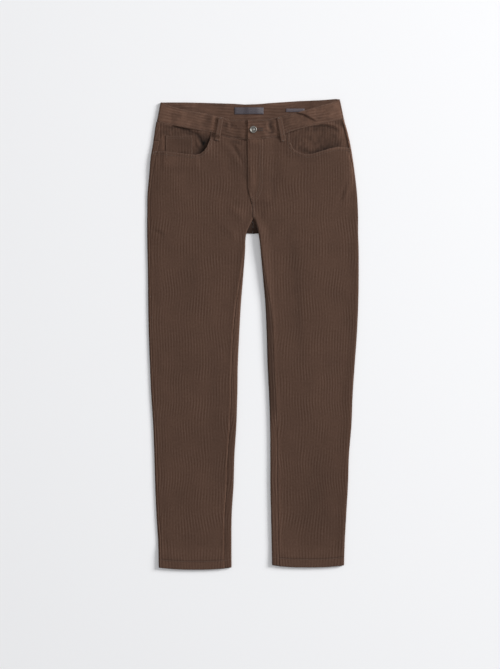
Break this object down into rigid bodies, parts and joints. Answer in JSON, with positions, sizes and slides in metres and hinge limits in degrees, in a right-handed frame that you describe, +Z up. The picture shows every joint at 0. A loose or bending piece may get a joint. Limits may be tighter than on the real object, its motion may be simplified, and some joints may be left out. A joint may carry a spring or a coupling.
{
  "type": "corduroy trousers",
  "caption": "Brown corduroy trousers laid flat with the front up: slim straight legs, scooped front pockets with a coin pocket, buttoned waistband with belt loops, fly and plain hems.",
  "frame": {"origin": "on the surface that the trousers lie on, below the middle of their box", "axes": "+Y runs from the hems to the waist, +X towards the wearer's left, +Z up from the surface, out of the front of the trousers"},
  "size_m": [0.4864, 1.0822, 0.0122],
  "materials": {
    "corduroy": "ribbed pile, matt",
    "button_metal": "satin",
    "zip": "matt",
    "label_main": "satin weave",
    "label_side": "satin weave"
  },
  "bodies": {
    "root": {"back_leg_right": "corduroy", "back_leg_left": "corduroy", "back_yoke_right": "corduroy", "back_yoke_left": "corduroy", "back_pocket_right": "corduroy", "back_pocket_left": "corduroy", "front_right": "corduroy", "front_left": "corduroy", "pocket_facing_right": "corduroy", "pocket_facing_left": "corduroy", "coin_pocket": "corduroy", "waistband": "corduroy", "belt_loop_front_right": "corduroy", "belt_loop_front_left": "corduroy", "belt_loop_back_right": "corduroy", "belt_loop_back_middle": "corduroy", "belt_loop_back_left": "corduroy", "button": "button_metal", "fly_zip": "zip", "label_main": "label_main", "label_side": "label_side"}
  },
  "joints": []
}
